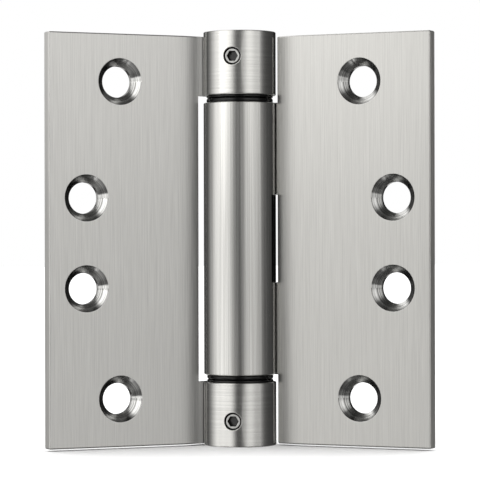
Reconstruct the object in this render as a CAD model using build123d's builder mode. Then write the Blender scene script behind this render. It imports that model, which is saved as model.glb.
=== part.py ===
"""Self-closing spring hinge: two folded leaves on a three-knuckle barrel with torsion springs inside.

Millimetres, +Z up. The pin axis is Z and z = 0 is the lower end of the lower end knuckle. The frame leaf
lies towards -X with its countersunk face towards -Y. The door leaf would lie flat towards +X, and stands
folded towards -Y by fold_angle.
"""
from build123d import *
from math import acos, atan2, cos, degrees, floor, hypot, radians, sin
import os

# Leaves
leaf_height = 101.6
leaf_reach = 50.8
leaf_thickness = 3.3
face_setback = 0.8
fold_angle = 51.0
corner_round = 0.3
rim_break = 0.25
bend_start = 17.0
bend_radius = 21.35
frame_leaf_cut = 10.65
door_leaf_cut = 9.5
leaf_drop = 0.35

# Knuckles
knuckle_radius = 9.05
end_knuckle_length = 15.85
end_knuckle_overhang = 0.85
knuckle_gap = 1.85
end_break = 0.15
knuckle_break = 0.2
seam_width = 0.35

# Screw holes in the leaves
screw_hole_radius = 3.85
countersink_radius = 5.75
countersink_angle = 82.0
outer_pair_reach = 32.1
outer_pair_spacing = 78.0
inner_pair_reach = 41.0
inner_pair_spacing = 22.2
inner_pair_drop = 0.75

# Set screws in the end knuckles
set_screw_inset = 6.4
set_screw_bearing = 37.5
set_screw_hole_radius = 2.2
set_screw_rim_radius = 1.75
set_screw_key = 2.5
set_screw_key_depth = 1.7
set_screw_recess = 0.45

# Tension plugs, which are also the hinge's pintles
plug_recess = 0.6
plug_edge = 0.5
plug_key = 5.0
plug_key_depth = 4.5
journal_radius = 4.5
journal_length = 11.15

# Bushes and thrust washers in the knuckle gaps
gap_ring_radius = 8.3
gap_ring_edge = 0.2
washer_thickness = 0.6
bush_sleeve_length = 6.9

# Torsion springs and their anchor
wire_width = 2.0
wire_sides = 6
coil_gap = 0.15
coil_facets = 12
tang_length = 2.2
anchor_length = 23.0
anchor_slot_length = 22.0
anchor_slot_lip = 0.6
anchor_slot_inner = 3.4
anchor_key_depth = 4.4
anchor_key_inset = 0.02

# Clearances
running_clearance = 0.05
seat_clearance = 0.1
spring_clearance = 0.3

# Levels along the pin axis
total_length = leaf_height + 2 * end_knuckle_overhang
mid_height = total_length / 2
leaf_middle = mid_height - leaf_drop
leaf_bottom = leaf_middle - leaf_height / 2
leaf_top = leaf_middle + leaf_height / 2
barrel_bottom = end_knuckle_length + knuckle_gap
barrel_top = total_length - barrel_bottom
barrel_length = barrel_top - barrel_bottom
upper_knuckle_bottom = barrel_top + knuckle_gap
flange_bottom = end_knuckle_length + washer_thickness + seat_clearance
journal_end = end_knuckle_length + journal_length
anchor_bottom = mid_height - anchor_length / 2
anchor_top = mid_height + anchor_length / 2

# Section of the sheet, seen along the pin: x outward along the leaf, y towards its back
bore_radius = knuckle_radius - leaf_thickness
curl_radius = knuckle_radius - leaf_thickness / 2
sheet_middle = face_setback + leaf_thickness / 2
bend_centre = (bend_start, sheet_middle + bend_radius)
bend_bearing = atan2(bend_centre[1], bend_centre[0])
web_bearing = bend_bearing + acos((curl_radius + bend_radius) / hypot(*bend_centre))
web_normal = Vector(cos(web_bearing), sin(web_bearing))
web_start = Vector(*bend_centre) - web_normal * bend_radius
web_end = web_normal * curl_radius
web_angle = degrees(web_bearing)
seam_angle = web_angle - degrees(acos(bore_radius / knuckle_radius))
curl_sweep = 360 + seam_angle - degrees(seam_width / knuckle_radius) - web_angle

# Planes of the two leaves: x outward along the leaf, y towards its back
up = Vector(0, 0, 1)
mid_plane = Plane.XY.offset(mid_height)
frame_plane = Plane((0, 0, 0), x_dir=(-1, 0, 0), z_dir=(0, 0, -1))
door_plane = Plane.XY.rotated((0, 0, -fold_angle))
curl_plane = Plane.XZ.rotated((0, 0, web_angle - fold_angle))
set_screw_aim = Vector(-sin(radians(set_screw_bearing)), -cos(radians(set_screw_bearing)), 0)

os.makedirs("parts", exist_ok=True)


def save(piece, name):
    piece.part.label = name
    export_step(piece.part, f"parts/{name}.step")


def at_height(plane, height):
    """The same plane, moved up the pin axis."""
    return Plane(plane.origin + up * height, x_dir=plane.x_dir, z_dir=plane.z_dir)


def sheet_section(plane, curled=False, near=None, far=None):
    """Section of the rolled sheet on a leaf's plane, kept between near and far from the pin."""
    with BuildSketch(plane) as section:
        with BuildLine():
            Line((leaf_reach, sheet_middle), (bend_start, sheet_middle))
            CenterArc(bend_centre, bend_radius, 270, web_angle - 90)
            Line(web_start, web_end)
            if curled:
                CenterArc((0, 0), curl_radius, web_angle, curl_sweep)
        trace(line_width=leaf_thickness)
        if far is None:
            fillet(section.vertices().sort_by(Axis.X)[-2:], corner_round)
        else:
            with Locations((far, 0)):
                Rectangle(leaf_reach, leaf_reach, align=(Align.MIN, Align.CENTER), mode=Mode.SUBTRACT)
        if near is not None:
            Rectangle(2 * near, leaf_reach, mode=Mode.SUBTRACT)
    return section.sketch


def countersunk_face(plane):
    """Plane of a leaf's countersunk face: x outward along the leaf, y along the pin axis."""
    return Plane(plane.y_dir * face_setback, x_dir=plane.x_dir, z_dir=plane.y_dir * -1)


def screw_spots(plane):
    """Centres of a leaf's four screw holes on its countersunk face."""
    upward = plane.z_dir.Z
    inner_middle = leaf_middle - inner_pair_drop
    spots = []
    for end in (-1, 1):
        spots.append((outer_pair_reach, upward * (leaf_middle + end * outer_pair_spacing / 2)))
        spots.append((inner_pair_reach, upward * (inner_middle + end * inner_pair_spacing / 2)))
    return spots


# Frame leaf: plate with its bent strip, two necks and the two turned end knuckles
with BuildPart() as frame_leaf:
    extrude(sheet_section(at_height(frame_plane, leaf_bottom), near=frame_leaf_cut), leaf_height, dir=up)
    plate_rims = frame_leaf.edges().group_by(Axis.Z)
    chamfer(plate_rims[0] + plate_rims[-1], rim_break)
    for neck_bottom, neck_top in ((leaf_bottom, end_knuckle_length), (upper_knuckle_bottom, leaf_top)):
        neck = sheet_section(at_height(frame_plane, neck_bottom), far=frame_leaf_cut + rim_break)
        extrude(neck, neck_top - neck_bottom, dir=up)
    with BuildSketch(Plane.XZ) as ring_section:
        with Locations((bore_radius, 0)):
            Rectangle(leaf_thickness, end_knuckle_length, align=(Align.MIN, Align.MIN))
        rim_corners = ring_section.vertices().group_by(Axis.X)[-1].sort_by(Axis.Y)
        chamfer(rim_corners[0], end_break)
        chamfer(rim_corners[-1], knuckle_break)
    end_knuckle = revolve(axis=Axis.Z)
    mirror(end_knuckle, about=mid_plane)
    with Locations(countersunk_face(frame_plane)):
        with Locations(*screw_spots(frame_plane)):
            CounterSinkHole(screw_hole_radius, countersink_radius, 2 * leaf_thickness, countersink_angle)
    for screw_height in (set_screw_inset, total_length - set_screw_inset):
        with BuildSketch(Plane((0, 0, screw_height), z_dir=set_screw_aim)):
            Circle(set_screw_hole_radius)
        extrude(amount=2 * knuckle_radius, mode=Mode.SUBTRACT)
save(frame_leaf, "frame_leaf")

# Door leaf: plate with its bent strip, rolled into the centre barrel, with the seam and the anchor slot
with BuildPart() as door_leaf:
    extrude(sheet_section(at_height(door_plane, leaf_bottom), near=door_leaf_cut), leaf_height, dir=up)
    plate_rims = door_leaf.edges().group_by(Axis.Z)
    chamfer(plate_rims[0] + plate_rims[-1], rim_break)
    barrel = sheet_section(at_height(door_plane, barrel_bottom), curled=True, far=door_leaf_cut + rim_break)
    extrude(barrel, barrel_length, dir=up)
    for barrel_end, inward in ((barrel_bottom, 1), (barrel_top, -1)):
        with BuildSketch(curl_plane):
            with BuildLine():
                Polyline(
                    (knuckle_radius - knuckle_break, barrel_end),
                    (knuckle_radius + knuckle_break, barrel_end),
                    (knuckle_radius + knuckle_break, barrel_end + 2 * inward * knuckle_break),
                    close=True,
                )
            make_face()
        revolve(axis=Axis.Z, revolution_arc=curl_sweep, mode=Mode.SUBTRACT)
    with BuildSketch(at_height(door_plane, mid_height)):
        with Locations((anchor_slot_inner, -anchor_slot_lip)):
            Rectangle(door_leaf_cut - anchor_slot_inner, leaf_reach, align=(Align.MIN, Align.MIN))
    extrude(amount=anchor_slot_length / 2, both=True, mode=Mode.SUBTRACT)
    with Locations(countersunk_face(door_plane)):
        with Locations(*screw_spots(door_plane)):
            CounterSinkHole(screw_hole_radius, countersink_radius, 2 * leaf_thickness, countersink_angle)
save(door_leaf, "door_leaf")

# Spring anchor: black core that takes both springs' inner tangs, keyed into the barrel's slot
tang_slot_width = wire_width + 2 * seat_clearance
tang_slot_depth = tang_length + seat_clearance
anchor_radius = bore_radius - seat_clearance
with BuildPart() as spring_anchor:
    with BuildSketch(Plane.XY.offset(anchor_bottom)):
        Circle(anchor_radius)
    extrude(amount=anchor_length)
    with BuildSketch(at_height(door_plane, mid_height)):
        Circle(knuckle_radius - anchor_key_inset)
        key_front = seat_clearance - anchor_slot_lip
        with Locations((0, key_front)):
            Rectangle(
                knuckle_radius,
                anchor_key_depth - key_front,
                align=(Align.MIN, Align.MIN),
                mode=Mode.INTERSECT,
            )
    extrude(amount=anchor_slot_length / 2 - seat_clearance, both=True)
    for core_end, inward in ((anchor_bottom, 1), (anchor_top, -1)):
        with BuildSketch(Plane.XY.offset(core_end)):
            Rectangle(2 * anchor_radius, tang_slot_width)
        extrude(amount=inward * tang_slot_depth, mode=Mode.SUBTRACT)
save(spring_anchor, "spring_anchor")

# Tension plug: turns in the end knuckle, is the pintle in the bush and takes the spring's outer tang
plug_radius = bore_radius - running_clearance
with BuildPart() as tension_plug:
    with BuildSketch(Plane.XY.offset(plug_recess)):
        Circle(plug_radius)
    extrude(amount=end_knuckle_length - plug_recess)
    chamfer(tension_plug.edges().sort_by(Axis.Z)[0], plug_edge)
    with BuildSketch(Plane.XY.offset(end_knuckle_length)):
        Circle(journal_radius)
    extrude(amount=journal_length)
    with BuildSketch(Plane.XY.offset(plug_recess)):
        RegularPolygon(plug_key / 2, 6, major_radius=False)
    extrude(amount=plug_key_depth, mode=Mode.SUBTRACT)
    with BuildSketch(Plane.XY.offset(journal_end)):
        Rectangle(2 * journal_radius, tang_slot_width)
    extrude(amount=-tang_slot_depth, mode=Mode.SUBTRACT)

# Thrust washer: black ring that lies on the end knuckle
with BuildPart() as thrust_washer:
    with BuildSketch(Plane.XY.offset(end_knuckle_length)):
        Circle(gap_ring_radius)
        Circle(journal_radius + seat_clearance, mode=Mode.SUBTRACT)
    extrude(amount=washer_thickness)
    chamfer(thrust_washer.edges().group_by(SortBy.LENGTH)[-1], gap_ring_edge)

# Flanged bush: black sleeve pressed into the barrel's end, with its flange in the knuckle gap
with BuildPart() as flanged_bush:
    with BuildSketch(Plane.XY.offset(flange_bottom)):
        Circle(gap_ring_radius)
    extrude(amount=barrel_bottom - flange_bottom)
    chamfer(flanged_bush.edges().sort_by(Axis.Z)[0], gap_ring_edge)
    with BuildSketch(Plane.XY.offset(barrel_bottom)):
        Circle(bore_radius - running_clearance)
    extrude(amount=bush_sleeve_length)
    with BuildSketch(Plane.XY.offset(flange_bottom)):
        Circle(journal_radius + running_clearance)
    extrude(amount=total_length, mode=Mode.SUBTRACT)

# Torsion spring: wire wound right-handed with a straight tang at each end, in few facets as it is hidden
coil_radius = bore_radius - spring_clearance - wire_width / 2
coil_bottom = journal_end + seat_clearance + wire_width / 2
coil_top = anchor_bottom - seat_clearance - wire_width / 2
coil_turns = floor((coil_top - coil_bottom) / (wire_width + coil_gap))
coil_steps = coil_turns * coil_facets
with BuildPart() as torsion_spring:
    with BuildLine():
        wire_points = [(coil_radius, 0, journal_end - tang_length)]
        for step in range(coil_steps + 1):
            turned = radians(360 * step / coil_facets)
            level = coil_bottom + (coil_top - coil_bottom) * step / coil_steps
            wire_points.append((coil_radius * cos(turned), coil_radius * sin(turned), level))
        wire_points.append((coil_radius, 0, anchor_bottom + tang_length))
        Polyline(*wire_points)
    with BuildSketch(Plane.XY.offset(journal_end - tang_length)):
        with Locations((coil_radius, 0)):
            RegularPolygon(wire_width / 2, wire_sides)
    sweep(transition=Transition.RIGHT)

# Set screw: socket screw in the end knuckle, bearing on the tension plug
set_screw_radius = set_screw_hole_radius - running_clearance
set_screw_face = knuckle_radius - set_screw_recess
set_screw_plane = Plane((0, 0, set_screw_inset), z_dir=set_screw_aim)
with BuildPart() as set_screw:
    with BuildSketch(set_screw_plane.offset(bore_radius)):
        Circle(set_screw_radius)
    extrude(amount=set_screw_face - bore_radius)
    outer_rim = set_screw.edges().filter_by(GeomType.CIRCLE).sort_by(Axis((0, 0, 0), set_screw_aim))[-1]
    chamfer(outer_rim, set_screw_radius - set_screw_rim_radius)
    with BuildSketch(set_screw_plane.offset(set_screw_face)):
        RegularPolygon(set_screw_key / 2, 6, major_radius=False)
    extrude(amount=-set_screw_key_depth, mode=Mode.SUBTRACT)

# The same pieces serve both ends; the upper ones are mirror images, so the two springs wind opposite ways
end_pieces = {
    "tension_plug": tension_plug,
    "thrust_washer": thrust_washer,
    "flanged_bush": flanged_bush,
    "torsion_spring": torsion_spring,
    "set_screw": set_screw,
}
for name, lower_piece in end_pieces.items():
    save(lower_piece, f"lower_{name}")
    with BuildPart() as upper_piece:
        mirror(lower_piece.part, about=mid_plane)
    save(upper_piece, f"upper_{name}")
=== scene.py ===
import math

import bpy
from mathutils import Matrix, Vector


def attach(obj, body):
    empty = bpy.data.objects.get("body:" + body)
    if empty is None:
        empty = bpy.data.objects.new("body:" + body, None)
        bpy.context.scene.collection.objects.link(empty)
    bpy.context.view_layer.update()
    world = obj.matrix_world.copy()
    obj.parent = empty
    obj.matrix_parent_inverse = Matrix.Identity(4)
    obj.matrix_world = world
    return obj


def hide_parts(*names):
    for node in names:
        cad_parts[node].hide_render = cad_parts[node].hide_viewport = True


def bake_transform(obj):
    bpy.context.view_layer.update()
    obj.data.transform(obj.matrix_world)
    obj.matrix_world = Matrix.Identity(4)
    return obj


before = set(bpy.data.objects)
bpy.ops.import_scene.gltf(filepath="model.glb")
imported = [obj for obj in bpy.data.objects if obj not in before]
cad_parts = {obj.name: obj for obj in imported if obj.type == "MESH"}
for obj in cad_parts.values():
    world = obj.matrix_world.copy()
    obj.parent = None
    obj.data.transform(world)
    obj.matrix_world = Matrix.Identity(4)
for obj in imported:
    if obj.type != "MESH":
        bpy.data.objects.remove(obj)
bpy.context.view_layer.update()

scene = bpy.context.scene

# Frame leaf: sheet steel with a bent strip along the pin and two turned end knuckles welded to its necks.
# The plate is brushed upright and the knuckles keep their turning lines; it is screwed to the door frame.
leaf_middle = 0.0513
knuckle_radius = 0.00905
countersink_radius = 0.00575
end_pair_reach, end_pair_half = 0.0321, 0.039
middle_pair_reach, middle_pair_half, middle_pair_drop = 0.0410, 0.0111, 0.00075
hole_spots = [
    (end_pair_reach, leaf_middle + end_pair_half),
    (end_pair_reach, leaf_middle - end_pair_half),
    (middle_pair_reach, leaf_middle - middle_pair_drop + middle_pair_half),
    (middle_pair_reach, leaf_middle - middle_pair_drop - middle_pair_half),
]
frame_outward = Vector((-1, 0, 0))
frame_back = Vector((0, 1, 0))
plate_part, knuckle_part, countersink_part = range(3)


def new_tree(name, kind, inputs, outputs):
    """A node group with named sockets and its two end nodes."""
    tree = bpy.data.node_groups.new(name, kind)
    for label, socket, value in inputs:
        made = tree.interface.new_socket(label, in_out="INPUT", socket_type=socket)
        if value is not None:
            made.default_value = value
    for label, socket in outputs:
        tree.interface.new_socket(label, in_out="OUTPUT", socket_type=socket)
    return tree, tree.nodes.new("NodeGroupInput"), tree.nodes.new("NodeGroupOutput")


def make_edge_finish():
    """Welds the loose triangles of a copied solid, smooths its rounds and keeps its corners crisp."""
    tree, entry, leave = new_tree(
        "edge_finish",
        "GeometryNodeTree",
        [
            ("Geometry", "NodeSocketGeometry", None),
            ("Weld Distance", "NodeSocketFloat", 0.000002),
            ("Corner Angle", "NodeSocketFloat", math.radians(28)),
            ("Finish", "NodeSocketMaterial", None),
        ],
        [("Geometry", "NodeSocketGeometry")],
    )
    weld = tree.nodes.new("GeometryNodeMergeByDistance")
    rounds = tree.nodes.new("GeometryNodeSetShadeSmooth")
    rounds.domain = "FACE"
    angle = tree.nodes.new("GeometryNodeInputMeshEdgeAngle")
    sharp = tree.nodes.new("FunctionNodeCompare")
    sharp.operation = "GREATER_THAN"
    corners = tree.nodes.new("GeometryNodeSetShadeSmooth")
    corners.domain = "EDGE"
    corners.inputs["Shade Smooth"].default_value = False
    plain = tree.nodes.new("GeometryNodeRealizeInstances")
    paint = tree.nodes.new("GeometryNodeSetMaterial")
    tree.links.new(entry.outputs["Geometry"], weld.inputs["Geometry"])
    tree.links.new(entry.outputs["Weld Distance"], weld.inputs["Distance"])
    tree.links.new(weld.outputs["Geometry"], rounds.inputs["Geometry"])
    tree.links.new(rounds.outputs["Geometry"], corners.inputs["Geometry"])
    tree.links.new(angle.outputs["Unsigned Angle"], sharp.inputs["A"])
    tree.links.new(entry.outputs["Corner Angle"], sharp.inputs["B"])
    tree.links.new(sharp.outputs["Result"], corners.inputs["Selection"])
    tree.links.new(corners.outputs["Geometry"], plain.inputs["Geometry"])
    tree.links.new(plain.outputs["Geometry"], paint.inputs["Geometry"])
    tree.links.new(entry.outputs["Finish"], paint.inputs["Material"])
    tree.links.new(paint.outputs["Geometry"], leave.inputs["Geometry"])
    return tree


edge_finish = make_edge_finish()


def grown(name, start_mesh, tree, values):
    """The plain mesh object that a geometry tree makes from a starting mesh."""
    piece = bpy.data.objects.new(name, start_mesh)
    scene.collection.objects.link(piece)
    growth = piece.modifiers.new(tree.name, "NODES")
    growth.node_group = tree
    for item in tree.interface.items_tree:
        if item.in_out == "INPUT" and item.name in values:
            growth[item.identifier] = values[item.name]
    bpy.context.view_layer.update()
    seen = piece.evaluated_get(bpy.context.evaluated_depsgraph_get())
    made = bpy.data.meshes.new_from_object(seen)
    piece.modifiers.remove(growth)
    piece.data = made
    made.name = name
    return piece


def solid_copy(node, name, finish):
    """A welded copy of a CAD node, in a finish of its own."""
    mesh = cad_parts[node].data.copy()
    mesh.attributes.remove(mesh.attributes["custom_normal"])
    mesh.materials.clear()
    return grown(name, mesh, edge_finish, {"Finish": finish})


def make_metal_lines():
    """Fine parallel tool lines over broad faint bands, from coordinates stretched along the lines."""
    noise_low, noise_high = 0.28, 0.72
    tree, entry, leave = new_tree(
        "metal_lines",
        "ShaderNodeTree",
        [
            ("Vector", "NodeSocketVector", None),
            ("Band Scale", "NodeSocketFloat", 0.35),
            ("Line Share", "NodeSocketFloat", 0.7),
        ],
        [("Tone", "NodeSocketFloat"), ("Height", "NodeSocketFloat")],
    )
    fine = tree.nodes.new("ShaderNodeTexNoise")
    fine.inputs["Scale"].default_value = 1.0
    fine.inputs["Detail"].default_value = 3.0
    fine.inputs["Roughness"].default_value = 0.65
    wider = tree.nodes.new("ShaderNodeVectorMath")
    wider.operation = "SCALE"
    bands = tree.nodes.new("ShaderNodeTexNoise")
    bands.inputs["Scale"].default_value = 1.0
    bands.inputs["Detail"].default_value = 2.0
    blend = tree.nodes.new("ShaderNodeMix")
    spread = tree.nodes.new("ShaderNodeMapRange")
    spread.inputs["From Min"].default_value = noise_low
    spread.inputs["From Max"].default_value = noise_high
    tree.links.new(entry.outputs["Vector"], fine.inputs["Vector"])
    tree.links.new(entry.outputs["Vector"], wider.inputs["Vector"])
    tree.links.new(entry.outputs["Band Scale"], wider.inputs["Scale"])
    tree.links.new(wider.outputs["Vector"], bands.inputs["Vector"])
    tree.links.new(entry.outputs["Line Share"], blend.inputs["Factor"])
    tree.links.new(bands.outputs["Fac"], blend.inputs["A"])
    tree.links.new(fine.outputs["Fac"], blend.inputs["B"])
    tree.links.new(blend.outputs["Result"], spread.inputs["Value"])
    tree.links.new(spread.outputs["Result"], leave.inputs["Tone"])
    tree.links.new(fine.outputs["Fac"], leave.inputs["Height"])
    return tree


metal_lines = make_metal_lines()


def lined_steel(
    name,
    dark,
    light,
    gloss,
    line_scale,
    line_depth,
    stretch=0.0,
    turn=0.0,
    coordinates="Object",
    edge=0.0001,
    share=0.7,
):
    """Steel with tool lines: two tones, a roughness range, and the lines' scale along x, y, z and depth.

    The shine is stretched along the grain map and turned on it, edge is the radius of the softened corners,
    and share is how much of the tone comes from the fine lines.
    """
    finish = bpy.data.materials.new(name)
    finish.use_nodes = True
    nodes = finish.node_tree.nodes
    links = finish.node_tree.links
    steel = nodes["Principled BSDF"]
    steel.inputs["Metallic"].default_value = 1.0
    steel.inputs["Anisotropic"].default_value = stretch
    steel.inputs["Anisotropic Rotation"].default_value = turn
    place = nodes.new("ShaderNodeTexCoord")
    scaled = nodes.new("ShaderNodeMapping")
    scaled.inputs["Scale"].default_value = line_scale
    lines = nodes.new("ShaderNodeGroup")
    lines.node_tree = metal_lines
    lines.inputs["Line Share"].default_value = share
    tone = nodes.new("ShaderNodeMix")
    tone.data_type = "RGBA"
    tone.inputs["A"].default_value = (*dark, 1.0)
    tone.inputs["B"].default_value = (*light, 1.0)
    rough = nodes.new("ShaderNodeMapRange")
    rough.inputs["To Min"].default_value = gloss[0]
    rough.inputs["To Max"].default_value = gloss[1]
    relief = nodes.new("ShaderNodeBump")
    relief.inputs["Strength"].default_value = 1.0
    relief.inputs["Distance"].default_value = line_depth
    soft_edge = nodes.new("ShaderNodeBevel")
    soft_edge.samples = 6
    soft_edge.inputs["Radius"].default_value = edge
    grain = nodes.new("ShaderNodeTangent")
    grain.direction_type = "UV_MAP"
    grain.uv_map = "grain"
    links.new(place.outputs[coordinates], scaled.inputs["Vector"])
    links.new(scaled.outputs["Vector"], lines.inputs["Vector"])
    links.new(lines.outputs["Tone"], tone.inputs["Factor"])
    links.new(lines.outputs["Tone"], rough.inputs["Value"])
    links.new(lines.outputs["Height"], relief.inputs["Height"])
    links.new(soft_edge.outputs["Normal"], relief.inputs["Normal"])
    links.new(tone.outputs["Result"], steel.inputs["Base Color"])
    links.new(rough.outputs["Result"], steel.inputs["Roughness"])
    links.new(relief.outputs["Normal"], steel.inputs["Normal"])
    links.new(grain.outputs["Tangent"], steel.inputs["Tangent"])
    return finish


frame_steel = {"dark": (0.64, 0.635, 0.62), "light": (0.82, 0.815, 0.795)}
plate_brushing = {
    "gloss": (0.32, 0.39),
    "line_scale": (3600, 3600, 60),
    "line_depth": 0.000003,
    "stretch": 0.75,
    "edge": 0.0002,
    "share": 0.93,
}
frame_plate = lined_steel("frame_plate", **frame_steel, **plate_brushing)
turned_knuckle = lined_steel(
    "turned_knuckle",
    **frame_steel,
    gloss=(0.19, 0.27),
    line_scale=(50, 50, 3600),
    line_depth=0.000002,
    stretch=0.5,
    turn=0.25,
    edge=0.00025,
)
# The countersinks reach far darker than the plate: painted shade in the hollows, over their real turning
# lines.
turned_countersink_shaded = lined_steel(
    "turned_countersink_shaded",
    dark=(0.16, 0.16, 0.155),
    light=(0.95, 0.95, 0.94),
    gloss=(0.09, 0.16),
    line_scale=(25, 4200, 25),
    line_depth=0.000008,
    stretch=0.4,
    turn=0.25,
    coordinates="UV",
    share=1.0,
)
# A face is flat on to a direction from the first cosine up, and looks mostly along it from the second up.
flat_on, mostly_along = 0.97, 0.7
countersink_margin = 1.03


def bearing_beside(start, bearing):
    """The bearing, moved by whole turns until it lies beside the start."""
    return start + math.remainder(bearing - start, math.tau)


def dress_leaf(piece, outward, back, round_finish):
    """Sorts a leaf's faces into plate, knuckle and countersinks, and lays the grain map over each."""
    mesh = piece.data
    for finish in (round_finish, turned_countersink_shaded):
        mesh.materials.append(finish)
    grain = mesh.uv_layers.new(name="grain")
    for face in mesh.polygons:
        spot = face.center
        reach = spot.dot(outward)
        part = plate_part
        if math.hypot(spot.x, spot.y) < knuckle_radius:
            part = knuckle_part
        for hole_reach, hole_height in hole_spots:
            from_hole = math.hypot(reach - hole_reach, spot.z - hole_height)
            near_hole = from_hole < countersink_margin * countersink_radius
            if near_hole and abs(face.normal.dot(back)) < flat_on:
                part = countersink_part
                middle = (hole_reach, hole_height)
        face.material_index = part
        for corner in face.loop_indices:
            point = mesh.vertices[mesh.loops[corner].vertex_index].co
            across = point.dot(outward)
            depth = point.dot(back)
            if part == countersink_part:
                start = math.atan2(spot.z - middle[1], reach - middle[0])
                bearing = bearing_beside(start, math.atan2(point.z - middle[1], across - middle[0]))
                place = (bearing * countersink_radius, math.hypot(across - middle[0], point.z - middle[1]))
            elif part == knuckle_part:
                bearing = bearing_beside(math.atan2(spot.y, spot.x), math.atan2(point.y, point.x))
                rise = math.hypot(point.x, point.y) if abs(face.normal.z) > mostly_along else point.z
                place = (bearing * knuckle_radius, rise)
            elif abs(face.normal.z) > mostly_along:
                place = (across, depth)
            elif abs(face.normal.dot(outward)) > mostly_along:
                place = (depth, point.z)
            else:
                place = (across, point.z)
            grain.data[corner].uv = place


frame_leaf = solid_copy("frame_leaf", "frame_leaf_steel", frame_plate)
dress_leaf(frame_leaf, frame_outward, frame_back, turned_knuckle)
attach(frame_leaf, "frame_side")
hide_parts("frame_leaf")

# Door leaf: the same sheet rolled round into the centre barrel, with its seam and the anchor slot.
# Plate and barrel are brushed upright, along the pin, and the leaf is screwed to the door's edge.
# Its plate is a darker copy of the frame leaf's steel, painted shade, and its barrel a lighter copy, painted
# light.
fold = math.radians(51)
door_outward = Vector((math.cos(fold), -math.sin(fold), 0))
door_back = Vector((math.sin(fold), math.cos(fold), 0))
# A darker copy of the frame leaf's plate steel: painted shade that dims the right leaf.
shaded_door_plate = lined_steel("shaded_door_plate", dark=(0.52, 0.515, 0.50), light=(0.675, 0.67, 0.65), **plate_brushing)
# Lighter than any plate of the same sheet steel: painted light for the barrel's highlight, over its real
# brushing lines.
brushed_barrel_lit = lined_steel(
    "brushed_barrel_lit",
    dark=(0.50, 0.495, 0.48),
    light=(0.92, 0.915, 0.895),
    gloss=(0.17, 0.25),
    line_scale=(2000, 2000, 12),
    line_depth=0.000004,
    stretch=0.6,
)
door_leaf = solid_copy("door_leaf", "door_leaf_steel", shaded_door_plate)
dress_leaf(door_leaf, door_outward, door_back, brushed_barrel_lit)
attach(door_leaf, "door_side")
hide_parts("door_leaf")

# Spring anchor: blackened steel core in the middle of the barrel, held by its key in the barrel's slot.
# Slots in its ends take the springs' inner tangs, and only the key's edge shows, as the black line beside
# the right leaf; its near-black colour, darker than blackened steel, is partly painted shade in the slot.


def black_finish(name, colour, gloss, speck, shine):
    """Smooth black with a faint mottle, a little darker and lighter than its colour."""
    darker, lighter = 0.6, 1.4
    finish = bpy.data.materials.new(name)
    finish.use_nodes = True
    nodes = finish.node_tree.nodes
    links = finish.node_tree.links
    black = nodes["Principled BSDF"]
    black.inputs["Specular IOR Level"].default_value = shine
    place = nodes.new("ShaderNodeTexCoord")
    mottle = nodes.new("ShaderNodeTexNoise")
    mottle.inputs["Scale"].default_value = speck
    mottle.inputs["Detail"].default_value = 4.0
    tone = nodes.new("ShaderNodeMix")
    tone.data_type = "RGBA"
    tone.inputs["A"].default_value = (*(darker * part for part in colour), 1.0)
    tone.inputs["B"].default_value = (*(lighter * part for part in colour), 1.0)
    rough = nodes.new("ShaderNodeMapRange")
    rough.inputs["To Min"].default_value = gloss[0]
    rough.inputs["To Max"].default_value = gloss[1]
    links.new(place.outputs["Object"], mottle.inputs["Vector"])
    links.new(mottle.outputs["Fac"], tone.inputs["Factor"])
    links.new(mottle.outputs["Fac"], rough.inputs["Value"])
    links.new(tone.outputs["Result"], black.inputs["Base Color"])
    links.new(rough.outputs["Result"], black.inputs["Roughness"])
    return finish


# Near black, darker than blackened steel: partly painted shade in the barrel's slot.
black_oxide_slot_shade = black_finish(
    "black_oxide_slot_shade", colour=(0.004, 0.004, 0.004), gloss=(0.45, 0.65), speck=900, shine=0.05
)
anchor = solid_copy("spring_anchor", "spring_anchor_black", black_oxide_slot_shade)
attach(anchor, "door_side")
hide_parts("spring_anchor")

# Torsion springs: round spring steel wire wound in five turns, right-handed below and left-handed above.
# Each has a straight tang in the tension plug's slot and one in the anchor's slot, inside the barrel,
# and winds up between the two as the door swings.
pin_middle = 0.05165
plug_end, anchor_end = 0.0281, 0.03905
points_a_turn, wire_sides = 36, 14
spring_wire = lined_steel(
    "spring_wire",
    dark=(0.16, 0.16, 0.165),
    light=(0.28, 0.28, 0.285),
    gloss=(0.28, 0.40),
    line_scale=(700, 700, 700),
    line_depth=0.000002,
)


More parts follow.
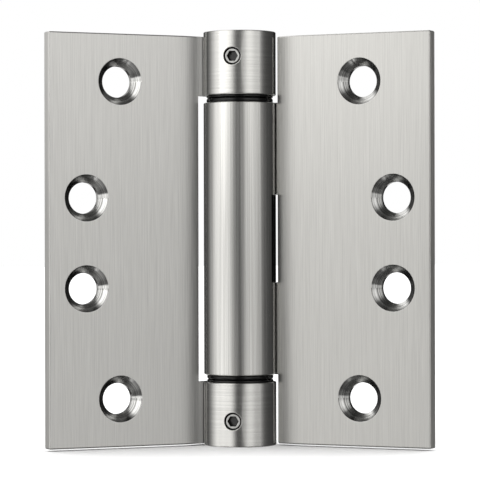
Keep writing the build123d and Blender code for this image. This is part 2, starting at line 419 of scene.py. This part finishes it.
def make_coil_spring():
    """A coil with a straight tang at each end, both on the same side of the axis."""
    tree, entry, leave = new_tree(
        "coil_spring",
        "GeometryNodeTree",
        [
            ("Wire Radius", "NodeSocketFloat", 0.001),
            ("Coil Radius", "NodeSocketFloat", 0.00445),
            ("Turns", "NodeSocketFloat", 5.0),
            ("Left Hand", "NodeSocketBool", False),
            ("Coil Start", "NodeSocketFloat", plug_end),
            ("Coil Height", "NodeSocketFloat", anchor_end - plug_end),
            ("Tang Reach", "NodeSocketFloat", 0.0033),
            ("Finish", "NodeSocketMaterial", None),
        ],
        [("Geometry", "NodeSocketGeometry")],
    )
    spiral = tree.nodes.new("GeometryNodeCurveSpiral")
    spiral.inputs["Resolution"].default_value = points_a_turn
    spiral_end = tree.nodes.new("ShaderNodeMath")
    spiral_end.operation = "ADD"
    rounds = tree.nodes.new("GeometryNodeCurvePrimitiveCircle")
    rounds.inputs["Resolution"].default_value = wire_sides
    raised = tree.nodes.new("ShaderNodeCombineXYZ")
    placed = tree.nodes.new("GeometryNodeTransform")
    both = tree.nodes.new("GeometryNodeJoinGeometry")
    tree.links.new(entry.outputs["Coil Radius"], spiral.inputs["Start Radius"])
    tree.links.new(entry.outputs["Coil Radius"], spiral.inputs["End Radius"])
    tree.links.new(entry.outputs["Turns"], spiral.inputs["Rotations"])
    tree.links.new(entry.outputs["Left Hand"], spiral.inputs["Reverse"])
    tree.links.new(entry.outputs["Coil Height"], spiral.inputs["Height"])
    tree.links.new(entry.outputs["Wire Radius"], rounds.inputs["Radius"])
    tree.links.new(entry.outputs["Coil Start"], raised.inputs["Z"])
    tree.links.new(spiral.outputs["Curve"], placed.inputs["Geometry"])
    tree.links.new(raised.outputs["Vector"], placed.inputs["Translation"])
    tree.links.new(placed.outputs["Geometry"], both.inputs["Geometry"])
    tree.links.new(entry.outputs["Coil Start"], spiral_end.inputs[0])
    tree.links.new(entry.outputs["Coil Height"], spiral_end.inputs[1])
    for level, sign in ((entry.outputs["Coil Start"], -1.0), (spiral_end.outputs["Value"], 1.0)):
        reach = tree.nodes.new("ShaderNodeMath")
        reach.operation = "MULTIPLY_ADD"
        reach.inputs[1].default_value = sign
        near_end = tree.nodes.new("ShaderNodeCombineXYZ")
        far_end = tree.nodes.new("ShaderNodeCombineXYZ")
        tang = tree.nodes.new("GeometryNodeCurvePrimitiveLine")
        tree.links.new(entry.outputs["Tang Reach"], reach.inputs[0])
        tree.links.new(level, reach.inputs[2])
        tree.links.new(entry.outputs["Coil Radius"], near_end.inputs["X"])
        tree.links.new(level, near_end.inputs["Z"])
        tree.links.new(entry.outputs["Coil Radius"], far_end.inputs["X"])
        tree.links.new(reach.outputs["Value"], far_end.inputs["Z"])
        tree.links.new(near_end.outputs["Vector"], tang.inputs["Start"])
        tree.links.new(far_end.outputs["Vector"], tang.inputs["End"])
        tree.links.new(tang.outputs["Curve"], both.inputs["Geometry"])
    drawn = tree.nodes.new("GeometryNodeCurveToMesh")
    drawn.inputs["Fill Caps"].default_value = True
    plain = tree.nodes.new("GeometryNodeRealizeInstances")
    paint = tree.nodes.new("GeometryNodeSetMaterial")
    tree.links.new(both.outputs["Geometry"], drawn.inputs["Curve"])
    tree.links.new(rounds.outputs["Curve"], drawn.inputs["Profile Curve"])
    tree.links.new(drawn.outputs["Mesh"], plain.inputs["Geometry"])
    tree.links.new(plain.outputs["Geometry"], paint.inputs["Geometry"])
    tree.links.new(entry.outputs["Finish"], paint.inputs["Material"])
    tree.links.new(paint.outputs["Geometry"], leave.inputs["Geometry"])
    return tree


coil_spring = make_coil_spring()
for end, held, turned, left_hand in (
    ("lower", plug_end, anchor_end, False),
    ("upper", 2 * pin_middle - plug_end, 2 * pin_middle - anchor_end, True),
):
    node = f"{end}_torsion_spring"
    spring = grown(
        f"{node}_wire",
        bpy.data.meshes.new(node),
        coil_spring,
        {"Coil Start": min(held, turned), "Left Hand": left_hand, "Finish": spring_wire},
    )
    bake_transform(spring)
    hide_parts(node)

# Tension plugs: turned steel, in the end knuckles, each the pintle of its bush and the hold of its spring.
# The hex socket in the outer end takes the key that winds the spring, and a set screw holds the plug.
turned_plug = lined_steel(
    "turned_plug",
    dark=(0.30, 0.30, 0.29),
    light=(0.45, 0.45, 0.44),
    gloss=(0.25, 0.35),
    line_scale=(90, 90, 5000),
    line_depth=0.000003,
)
for end in ("lower", "upper"):
    node = f"{end}_tension_plug"
    plug = solid_copy(node, f"{node}_steel", turned_plug)
    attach(plug, f"{end}_adjuster")
    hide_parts(node)

# Thrust washers: smooth black plastic rings with rounded rims, one in each knuckle gap.
# Each lies on its end knuckle, loose round the plug's journal, and the bush's flange runs on it.
gap_ring_radius = 0.0083
journal_radius = 0.0045
washer_bottom, washer_top = 0.01585, 0.01645
washer_bore = journal_radius + 0.0001
washer_rim = 0.00025
ring_steps = 96
rim_quarter, rim_step = 90, 15
black_ring = black_finish(
    "black_ring", colour=(0.004, 0.004, 0.004), gloss=(0.06, 0.12), speck=700, shine=0.35
)


def turned_ring(name, profile, finish):
    """A ring turned about the pin axis from a closed profile of radius and height."""
    corners = []
    faces = []
    count = len(profile)
    for step in range(ring_steps):
        bearing = math.tau * step / ring_steps
        here = step * count
        beyond = (step + 1) % ring_steps * count
        for spot, (radius, level) in enumerate(profile):
            after = (spot + 1) % count
            corners.append((radius * math.cos(bearing), radius * math.sin(bearing), level))
            faces.append((here + spot, beyond + spot, beyond + after, here + after))
    mesh = bpy.data.meshes.new(name)
    mesh.from_pydata(corners, [], faces)
    return grown(name, mesh, edge_finish, {"Finish": finish})


def rounded_rim(radius, bottom, top, rim):
    """Points of a rim, from its bottom to its top, with its two corners rounded."""
    points = []
    for centre, first in ((bottom + rim, -rim_quarter), (top - rim, 0)):
        for turn in range(0, rim_quarter + 1, rim_step):
            angle = math.radians(first + turn)
            points.append((radius - rim + rim * math.cos(angle), centre + rim * math.sin(angle)))
    return points


def flipped(profile):
    """The profile mirrored to the upper end of the hinge."""
    return [(radius, 2 * pin_middle - level) for radius, level in reversed(profile)]


washer_profile = rounded_rim(gap_ring_radius, washer_bottom, washer_top, washer_rim)
washer_profile += [(washer_bore, washer_top), (washer_bore, washer_bottom)]
for end, profile in (("lower", washer_profile), ("upper", flipped(washer_profile))):
    node = f"{end}_thrust_washer"
    washer = turned_ring(f"{node}_black", profile, black_ring)
    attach(washer, "frame_side")
    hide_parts(node)

# Flanged bushes: smooth black plastic sleeves pressed into the barrel's ends.
# Each has a rounded flange in the knuckle gap and turns with the door on the plug's journal.
flange_bottom, barrel_bottom, bush_top = 0.01655, 0.0177, 0.0246
flange_rim = 0.00045
sleeve_radius = 0.0057
bush_bore = journal_radius + 0.00005
bush_profile = rounded_rim(gap_ring_radius, flange_bottom, barrel_bottom, flange_rim)
bush_profile += [(sleeve_radius, barrel_bottom), (sleeve_radius, bush_top), (bush_bore, bush_top)]
bush_profile += [(bush_bore, flange_bottom)]
for end, profile in (("lower", bush_profile), ("upper", flipped(bush_profile))):
    node = f"{end}_flanged_bush"
    bush = turned_ring(f"{node}_black", profile, black_ring)
    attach(bush, "door_side")
    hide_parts(node)

# Set screws: blackened steel screws with a hex socket and a bright ground face, one in each end knuckle.
# Each is driven in from the front and bears on the tension plug, to hold it from turning back.
screw_bearing = math.radians(37.5)
screw_aim = Vector((-math.sin(screw_bearing), -math.cos(screw_bearing), 0))
face_aim, face_depth = 0.99, 0.0002
screw_black = black_finish(
    "screw_black", colour=(0.006, 0.006, 0.006), gloss=(0.15, 0.28), speck=2500, shine=0.9
)
screw_face = lined_steel(
    "screw_face",
    dark=(0.55, 0.55, 0.54),
    light=(0.75, 0.75, 0.74),
    gloss=(0.25, 0.35),
    line_scale=(2500, 2500, 2500),
    line_depth=0.000002,
)
for end in ("lower", "upper"):
    node = f"{end}_set_screw"
    screw = solid_copy(node, f"{node}_steel", screw_black)
    screw.data.materials.append(screw_face)
    bright_part = screw.data.materials.find(screw_face.name)
    outermost = max(corner.co.dot(screw_aim) for corner in screw.data.vertices)
    for face in screw.data.polygons:
        if face.normal.dot(screw_aim) > face_aim and outermost - face.center.dot(screw_aim) < face_depth:
            face.material_index = bright_part
    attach(screw, "frame_side")
    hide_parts(node)

# Floor: a broad board under the hinge, painted a matt white, which takes the hinge's soft shadow.
# It lies level with the lower knuckle's end, and the metal doesn't mirror it.
floor_half = 4.0
floor_tone = 0.97


def stage_mesh(name, corners, faces):
    """A stage object from its points and faces."""
    mesh = bpy.data.meshes.new(name)
    mesh.from_pydata(corners, [], faces)
    piece = bpy.data.objects.new(name, mesh)
    scene.collection.objects.link(piece)
    return piece


floor = stage_mesh(
    "floor",
    [
        (-floor_half, -floor_half, 0),
        (floor_half, -floor_half, 0),
        (floor_half, floor_half, 0),
        (-floor_half, floor_half, 0),
    ],
    [(0, 1, 2, 3)],
)
floor_white = bpy.data.materials.new("floor_white")
floor_white.use_nodes = True
floor_paint = floor_white.node_tree.nodes["Principled BSDF"]
floor_paint.inputs["Base Color"].default_value = (floor_tone, floor_tone, floor_tone, 1.0)
floor_paint.inputs["Roughness"].default_value = 0.9
floor_paint.inputs["Specular IOR Level"].default_value = 0.0
floor.data.materials.append(floor_white)
floor.visible_glossy = False

# Light tent: a round cloth tent about the hinge that shows only in the metal, dark behind the camera.
# It glows as a large key at the left, a fill at the right, a boom high at the back, bars for the knuckles
# and low rear lights. Each light has its levels around the tent and then its levels up it, by degrees.
camera_bearing = math.radians(-25.3)
toward = Vector((math.sin(camera_bearing), -math.cos(camera_bearing), 0))
rightward = Vector((math.cos(camera_bearing), math.sin(camera_bearing), 0))
light_tint = (1.0, 0.994, 0.975)
no_tint = (1.0, 1.0, 1.0)
tent_radius = 0.95
tent_glow = 1.3
tent_steps, tent_rows = 120, 60
tent_lights = {
    "key": (
        [
            (-180, 0.03), (-141, 0.03), (-134, 0.36), (-122, 0.40), (-112, 0.42), (-100, 0.45), (-76, 0.55),
            (-66, 0.88), (-58, 0.97), (-48, 0.91), (-38, 0.68), (-28, 0.35), (-18, 0.15), (-9, 0.07),
            (3, 0.055), (14, 0.0), (180, 0.0),
        ],
        [
            (-90, 1.0), (-78, 1.0), (-68, 0.30), (-40, 0.20), (-30, 0.10), (-16, 0.10), (-11, 1.05),
            (-4, 0.98), (0, 0.86), (3, 1.14), (6, 1.54), (12, 1.46), (20, 1.40), (52, 1.2), (64, 0.35),
            (75, 0.05), (90, 0.03),
        ],
    ),
    "fill": (
        [
            (-180, 0.0), (-8, 0.0), (2, 0.04), (10, 0.20), (20, 0.42), (30, 0.49), (42, 0.50), (52, 0.46),
            (63, 0.44), (72, 0.66), (90, 0.66), (97, 0.10), (104, 0.03), (122, 0.05), (127, 0.08),
            (130, 0.08), (133, 0.01), (180, 0.01),
        ],
        [
            (-90, 1.0), (-78, 1.0), (-68, 0.20), (-40, 0.10), (-30, 0.08), (-16, 0.08), (-11, 1.00),
            (-4, 0.97), (0, 1.02), (3, 1.20), (6, 1.43), (12, 1.40), (25, 1.36), (38, 0.7), (50, 0.15),
            (75, 0.05), (90, 0.03),
        ],
    ),
    "boom": (
        [
            (-180, 0.4), (-165, 0.8), (-140, 1.0), (-116, 0.8), (-98, 0.12), (-60, 0.02), (140, 0.02),
            (180, 0.4),
        ],
        [(-90, 0.0), (20, 0.0), (32, 1.0), (70, 1.0), (82, 0.05), (90, 0.03)],
    ),
    "knuckle_bars": (
        [
            (-180, 0.0), (-46, 0.0), (-38, 0.50), (-29, 0.90), (-20, 0.45), (-12, 0.0), (11, 0.0),
            (22, 0.50), (36, 0.50), (46, 0.10), (54, 0.0), (180, 0.0),
        ],
        [
            (-90, 0.0), (-38, 0.0), (-30, 1.0), (-12, 1.0), (-6, 0.15), (6, 0.15), (13, 0.9), (40, 0.9),
            (50, 0.0), (90, 0.0),
        ],
    ),
    "rear_lights": (
        [
            (-180, 0.55), (-158, 0.50), (-151, 0.0), (94, 0.0), (100, 0.36), (124, 0.36), (131, 0.0),
            (151, 0.0), (158, 0.50), (180, 0.55),
        ],
        [(-90, 0.0), (-60, 0.0), (-45, 1.0), (-11, 1.0), (-6, 0.0), (90, 0.0)],
    ),
}


def way_out(bearing):
    """The level direction out from the pin at a bearing, from the camera's side round to its right."""
    return math.sin(bearing) * rightward + math.cos(bearing) * toward


tent_points = []
tent_map = []
for row in range(tent_rows + 1):
    lift = math.pi * (row / tent_rows - 0.5)
    height = leaf_middle + tent_radius * math.sin(lift)
    for step in range(tent_steps + 1):
        spot = math.cos(lift) * way_out(math.tau * (step / tent_steps - 0.5))
        tent_points.append((tent_radius * spot.x, tent_radius * spot.y, height))
        tent_map.append((step / tent_steps, row / tent_rows))
tent_faces = []
for row in range(tent_rows):
    for step in range(tent_steps):
        first = row * (tent_steps + 1) + step
        tent_faces.append((first, first + 1, first + tent_steps + 2, first + tent_steps + 1))
tent = stage_mesh("tent", tent_points, tent_faces)
tent_uv = tent.data.uv_layers.new(name="around")
for corner in tent.data.loops:
    tent_uv.data[corner.index].uv = tent_map[corner.vertex_index]


def only_in_metal(piece):
    """Lets a stage object show only in reflections."""
    piece.visible_camera = False
    piece.visible_diffuse = False
    piece.visible_transmission = False
    piece.visible_shadow = False


only_in_metal(tent)
tent_cloth = bpy.data.materials.new("tent_cloth")
tent_cloth.use_nodes = True
tent_nodes = tent_cloth.node_tree.nodes
tent_links = tent_cloth.node_tree.links
tent_nodes.remove(tent_nodes["Principled BSDF"])
around = tent_nodes.new("ShaderNodeUVMap")
around.uv_map = "around"
split = tent_nodes.new("ShaderNodeSeparateXYZ")
tent_links.new(around.outputs["UV"], split.inputs["Vector"])


def level_ramp(nodes, stops, tint):
    """A ramp of light levels, from stops of position and level."""
    ramp = nodes.new("ShaderNodeValToRGB")
    while len(ramp.color_ramp.elements) < len(stops):
        ramp.color_ramp.elements.new(0.5)
    for stop, (position, level) in zip(ramp.color_ramp.elements, stops):
        stop.position = position
        stop.color = (*(level * part for part in tint), 1.0)
    return ramp


def tent_levels(axis, turn, stops, tint):
    """The light levels along one axis of the tent's map, with their stops in degrees of its turn."""
    ramp = level_ramp(tent_nodes, [(angle / turn + 0.5, level) for angle, level in stops], tint)
    tent_links.new(split.outputs[axis], ramp.inputs["Fac"])
    return ramp.outputs["Color"]


def tent_mix(blend_type, first, second):
    """Two colours of the tent, multiplied or added."""
    mix = tent_nodes.new("ShaderNodeMix")
    mix.data_type = "RGBA"
    mix.blend_type = blend_type
    mix.inputs["Factor"].default_value = 1.0
    tent_links.new(first, mix.inputs["A"])
    tent_links.new(second, mix.inputs["B"])
    return mix.outputs["Result"]


tent_light = None
for around_stops, rise_stops in tent_lights.values():
    around_levels = tent_levels("X", 360, around_stops, light_tint)
    light = tent_mix("MULTIPLY", around_levels, tent_levels("Y", 180, rise_stops, no_tint))
    tent_light = light if tent_light is None else tent_mix("ADD", tent_light, light)
glow = tent_nodes.new("ShaderNodeEmission")
glow.inputs["Strength"].default_value = tent_glow
tent_links.new(tent_light, glow.inputs["Color"])
tent_links.new(glow.outputs["Emission"], tent_nodes["Material Output"].inputs["Surface"])
tent.data.materials.append(tent_cloth)

# Cards and flags: glowing sheets that show only in the metal, lit on their front and clear from behind, as
# painted light and shade in the reflections. A flat card stands just before each leaf, where only the barrel
# and knuckles see it, in place of the leaf, and curved flags stand round the barrel and knuckles, where only
# the leaf beside them sees them, in place of the barrel and knuckles.
card_depth = 0.0003
card_near = 0.00907
card_bottom, card_top = -0.06, 0.165
flag_gap = 0.00015
flag_steps = 12
hinge_top = 2 * pin_middle
barrel_top = hinge_top - barrel_bottom


def reflection_only_card(name, row, bottom, top, shares, levels, along="X"):
    """An upright card of painted reflection along a row of spots, with levels by each spot's share of it, or
    from foot to top.
    """
    corners = [(spot.x, spot.y, height) for height in (bottom, top) for spot in row]
    count = len(row)
    faces = [(step, step + 1, count + step + 1, count + step) for step in range(count - 1)]
    card = stage_mesh(name, corners, faces)
    across = card.data.uv_layers.new(name="across")
    for corner in card.data.loops:
        across.data[corner.index].uv = (shares[corner.vertex_index % count], corner.vertex_index // count)
    reflection_paint = bpy.data.materials.new(name)
    reflection_paint.use_nodes = True
    nodes = reflection_paint.node_tree.nodes
    links = reflection_paint.node_tree.links
    nodes.remove(nodes["Principled BSDF"])
    place = nodes.new("ShaderNodeUVMap")
    place.uv_map = "across"
    share = nodes.new("ShaderNodeSeparateXYZ")
    shade = level_ramp(nodes, levels, light_tint)
    side = nodes.new("ShaderNodeNewGeometry")
    lit = nodes.new("ShaderNodeEmission")
    clear = nodes.new("ShaderNodeBsdfTransparent")
    choose = nodes.new("ShaderNodeMixShader")
    links.new(place.outputs["UV"], share.inputs["Vector"])
    links.new(share.outputs[along], shade.inputs["Fac"])
    links.new(shade.outputs["Color"], lit.inputs["Color"])
    links.new(side.outputs["Backfacing"], choose.inputs["Fac"])
    links.new(lit.outputs["Emission"], choose.inputs[1])
    links.new(clear.outputs["BSDF"], choose.inputs[2])
    links.new(choose.outputs["Shader"], nodes["Material Output"].inputs["Surface"])
    card.data.materials.append(reflection_paint)
    only_in_metal(card)


def leaf_reflection_card(name, outward, back, stops):
    """A card before a leaf's face, painted reflection in place of the leaf, with light levels by reach from
    the pin.
    """
    near, far = stops[0][0], stops[-1][0]
    row = [near * outward + card_depth * back, far * outward + card_depth * back]
    shares = [0.0, 1.0]
    if outward.cross(Vector((0, 0, 1))).dot(back) > 0:
        row.reverse()
        shares.reverse()
    levels = [((reach - near) / (far - near), level) for reach, level in stops]
    reflection_only_card(name, row, card_bottom, card_top, shares, levels)


def barrel_reflection_flag(name, bearings, heights, levels):
    """A curved flag of painted reflection between two bearings and two heights, with a level at its foot and
    top.
    """
    first, last = bearings
    row = []
    for step in range(flag_steps + 1):
        bearing = math.radians(first + (last - first) * step / flag_steps)
        row.append((knuckle_radius + flag_gap) * way_out(bearing))
    foot_level, top_level = levels
    reflection_only_card(name, row, *heights, [0.0] * len(row), [(0.0, foot_level), (1.0, top_level)], along="Y")


leaf_reflection_card(
    "left_card",
    frame_outward,
    frame_back,
    [(card_near, 0.06), (0.0108, 0.28), (0.0133, 0.62), (0.0200, 1.05), (0.0500, 1.15)],
)
leaf_reflection_card(
    "right_card",
    door_outward,
    door_back,
    [(card_near, 0.05), (0.0133, 0.075), (0.0200, 0.13), (0.0350, 0.30), (0.0900, 0.46)],
)
barrel_reflection_flag("left_flag", bearings=(-66, -15), heights=(0.0, hinge_top), levels=(0.04, 0.06))
barrel_reflection_flag("left_flank", bearings=(-77, -66), heights=(barrel_bottom, barrel_top), levels=(0.03, 0.05))
barrel_reflection_flag("lower_neck_flag", bearings=(-77, -66), heights=(0.0, barrel_bottom), levels=(0.24, 0.30))
barrel_reflection_flag("upper_neck_flag", bearings=(-77, -66), heights=(barrel_top, hinge_top), levels=(0.40, 0.46))
barrel_reflection_flag("left_rear_flag", bearings=(-112, -77), heights=(0.0, hinge_top), levels=(0.01, 0.02))
barrel_reflection_flag("right_flag", bearings=(15, 68), heights=(0.0, hinge_top), levels=(0.22, 0.62))

# Surround, lamp and camera: an even white surround, a broad soft lamp overhead that lays the shadow on the
# floor, and a long lens at the front left, level with the middle of the leaves.
sky = bpy.data.worlds.new("white_surround")
sky.use_nodes = True
background = sky.node_tree.nodes["Background"]
background.inputs["Color"].default_value = (1.0, 1.0, 1.0, 1.0)
background.inputs["Strength"].default_value = 1.0
scene.world = sky

lamp_tilt = math.radians(-12)
overhead = bpy.data.lights.new("overhead", "SUN")
overhead.energy = 1.4
overhead.angle = math.radians(30)
overhead_lamp = bpy.data.objects.new("overhead", overhead)
overhead_lamp.rotation_euler = (lamp_tilt, 0, camera_bearing)
overhead_lamp.visible_glossy = False
scene.collection.objects.link(overhead_lamp)

camera_distance = 0.6424
camera_level = math.radians(90)
camera_roll = math.radians(-0.13)
sensor_width = 36.0
focal_pixels, picture_pixels = 2562, 480
lens = bpy.data.cameras.new("camera")
lens.sensor_width = sensor_width
lens.lens = sensor_width * focal_pixels / picture_pixels
lens.clip_start = 0.01
camera = bpy.data.objects.new("camera", lens)
camera.location = camera_distance * toward + Vector((0, 0, leaf_middle))
camera.rotation_euler = (camera_level, 0, camera_bearing)
camera.rotation_euler.rotate_axis("Z", camera_roll)
scene.collection.objects.link(camera)
scene.camera = camera

scene.view_settings.view_transform = "Standard"
